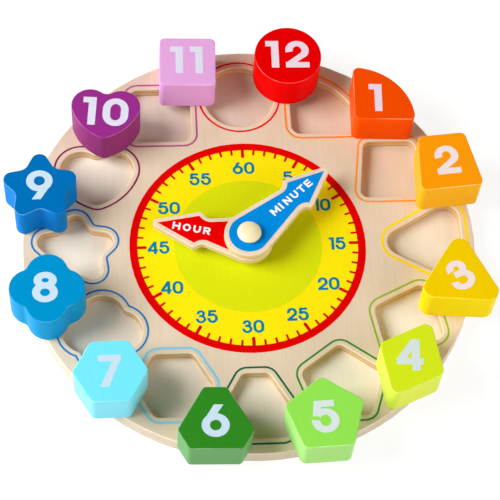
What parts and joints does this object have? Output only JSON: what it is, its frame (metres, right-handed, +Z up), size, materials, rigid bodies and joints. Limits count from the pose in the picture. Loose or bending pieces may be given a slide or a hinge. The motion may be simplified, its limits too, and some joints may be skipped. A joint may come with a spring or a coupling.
{
  "type": "shape sorting clock",
  "caption": "Round wooden learning clock with shaped slots round a printed dial, matching numbered blocks that lift off, and two hands that turn on a pin.",
  "frame": {"origin": "where the hands' axis meets the flat underside of the board", "axes": "+Z up out of the dial, +Y towards twelve o'clock, +X towards three o'clock"},
  "size_m": [0.2349, 0.2297, 0.0287],
  "materials": {
    "front_ply": "sanded basswood ply with a clear satin coat",
    "back_ply": "bare sanded basswood ply",
    "hand_ply": "ply with a printed and lacquered face",
    "cream_plastic": "glossy cream moulding",
    "paint_01": "solid wood with satin paint",
    "paint_02": "solid wood with satin paint",
    "paint_03": "solid wood with satin paint",
    "paint_04": "solid wood with satin paint",
    "paint_05": "solid wood with satin paint",
    "paint_06": "solid wood with satin paint",
    "paint_07": "solid wood with satin paint",
    "paint_08": "solid wood with satin paint",
    "paint_09": "solid wood with satin paint",
    "paint_10": "solid wood with satin paint",
    "paint_11": "solid wood with satin paint",
    "paint_12": "solid wood with satin paint"
  },
  "bodies": {
    "board": {"back_board": "back_ply", "front_board": "front_ply", "pin_nut": "cream_plastic", "centre_pin": "cream_plastic", "dial_spacer": "front_ply", "hand_washer": "cream_plastic"},
    "hour": {"hour_hand": "hand_ply"},
    "minute": {"minute_hand": "hand_ply"},
    "block_01": {"block_01_quarter": "paint_01"},
    "block_02": {"block_02_trapezoid": "paint_02"},
    "block_03": {"block_03_triangle": "paint_03"},
    "block_04": {"block_04_rhombus": "paint_04"},
    "block_05": {"block_05_pentagon": "paint_05"},
    "block_06": {"block_06_cut_triangle": "paint_06"},
    "block_07": {"block_07_hexagon": "paint_07"},
    "block_08": {"block_08_flower": "paint_08"},
    "block_09": {"block_09_star": "paint_09"},
    "block_10": {"block_10_heart": "paint_10"},
    "block_11": {"block_11_square": "paint_11"},
    "block_12": {"block_12_round": "paint_12"}
  },
  "joints": [
    {"name": "hour_hand_turn", "type": "hinge", "parent": "board", "child": "hour", "pos_m": [0, 0, 0.0145], "axis": [0, 0, 1], "continuous": true},
    {"name": "minute_hand_turn", "type": "hinge", "parent": "board", "child": "minute", "pos_m": [0, 0, 0.019], "axis": [0, 0, 1], "continuous": true},
    {"name": "lift_block_01", "type": "slide", "parent": "board", "child": "block_01", "axis": [0, 0, 1], "range_m": [0, 0.06]},
    {"name": "lift_block_02", "type": "slide", "parent": "board", "child": "block_02", "axis": [0, 0, 1], "range_m": [0, 0.06]},
    {"name": "lift_block_03", "type": "slide", "parent": "board", "child": "block_03", "axis": [0, 0, 1], "range_m": [0, 0.06]},
    {"name": "lift_block_04", "type": "slide", "parent": "board", "child": "block_04", "axis": [0, 0, 1], "range_m": [0, 0.06]},
    {"name": "lift_block_05", "type": "slide", "parent": "board", "child": "block_05", "axis": [0, 0, 1], "range_m": [0, 0.06]},
    {"name": "lift_block_06", "type": "slide", "parent": "board", "child": "block_06", "axis": [0, 0, 1], "range_m": [0, 0.06]},
    {"name": "lift_block_07", "type": "slide", "parent": "board", "child": "block_07", "axis": [0, 0, 1], "range_m": [0, 0.06]},
    {"name": "lift_block_08", "type": "slide", "parent": "board", "child": "block_08", "axis": [0, 0, 1], "range_m": [0, 0.06]},
    {"name": "lift_block_09", "type": "slide", "parent": "board", "child": "block_09", "axis": [0, 0, 1], "range_m": [0, 0.06]},
    {"name": "lift_block_10", "type": "slide", "parent": "board", "child": "block_10", "axis": [0, 0, 1], "range_m": [0, 0.06]},
    {"name": "lift_block_11", "type": "slide", "parent": "board", "child": "block_11", "axis": [0, 0, 1], "range_m": [0, 0.06]},
    {"name": "lift_block_12", "type": "slide", "parent": "board", "child": "block_12", "axis": [0, 0, 1], "range_m": [0, 0.06]}
  ]
}
